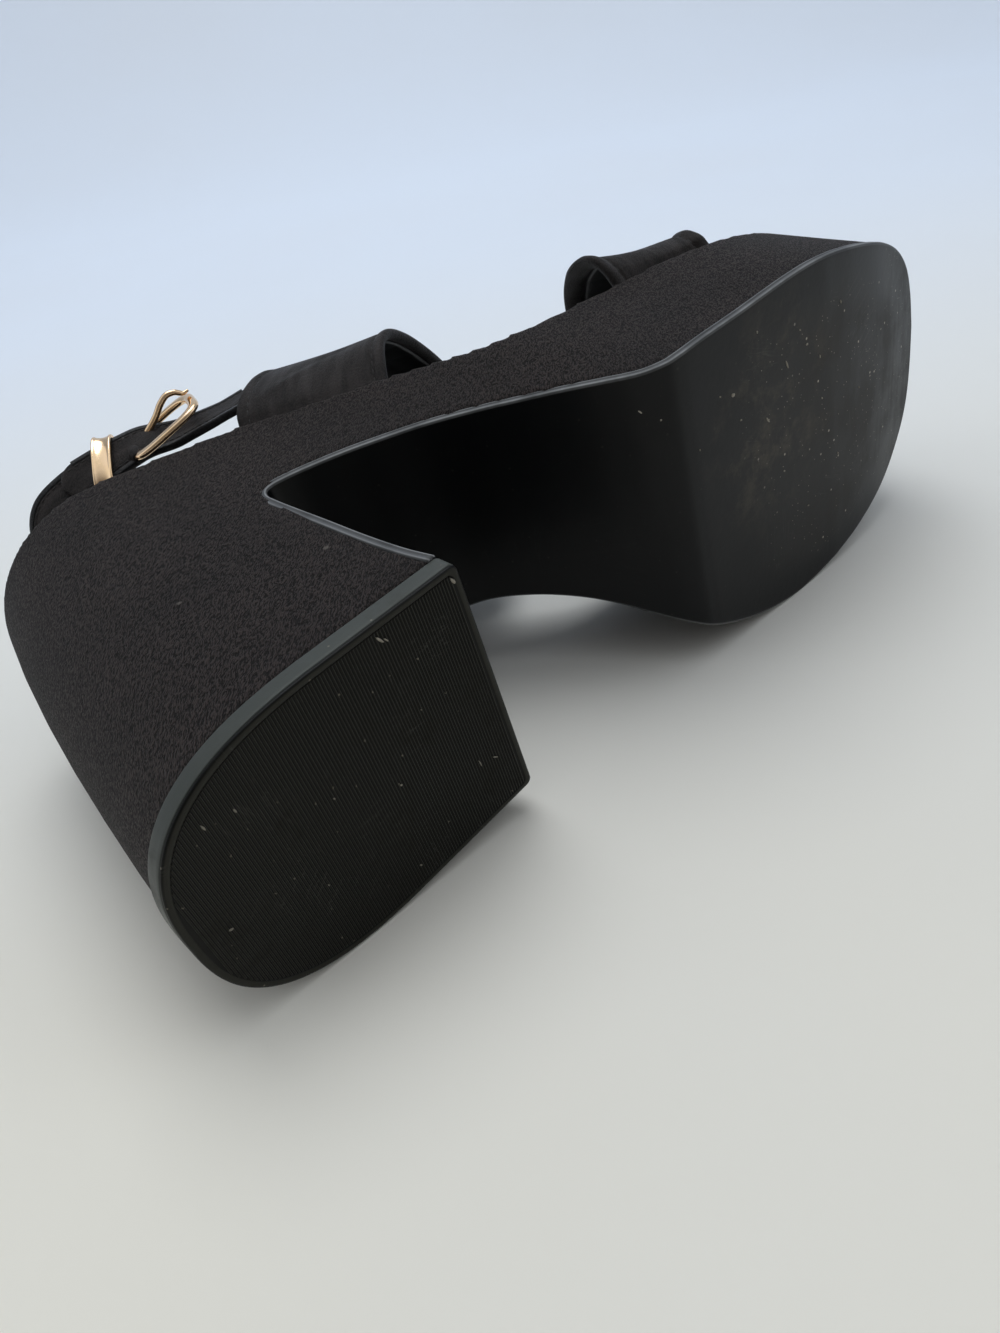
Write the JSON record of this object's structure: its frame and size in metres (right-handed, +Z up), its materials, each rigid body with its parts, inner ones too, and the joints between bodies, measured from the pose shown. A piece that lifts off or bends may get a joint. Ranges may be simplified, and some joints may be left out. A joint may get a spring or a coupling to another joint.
{
  "type": "platform sandal",
  "caption": "Right-foot platform sandal with a fabric-wrapped platform and block heel, moulded outsole, toe strap, instep strap and buckled ankle strap, lying on its inner side.",
  "frame": {"origin": "centre of the bounding box's bottom face, on the floor the shoe lies on", "axes": "+X towards the toe, +Y from the sole to the footbed, +Z up from the floor towards the shoe's outer side"},
  "size_m": [0.2774, 0.1376, 0.1003],
  "materials": {
    "wall_fabric": "dull pebbled wrap, warm black",
    "strap_fabric": "dull fabric with satin edges",
    "outsole_rubber": "smooth satin, scuffed under the ball",
    "tread_rubber": "satin with fine ribs",
    "insole_lining": "smooth synthetic lining",
    "gold_metal": "polished gold-coloured plating"
  },
  "bodies": {
    "root": {"outsole": "outsole_rubber", "top_lift": "tread_rubber", "platform": "wall_fabric", "insole": "insole_lining", "toe_strap": "strap_fabric", "instep_strap": "strap_fabric", "buckle_frame": "gold_metal", "buckle_prong": "gold_metal", "keeper_loop": "gold_metal"}
  },
  "joints": []
}
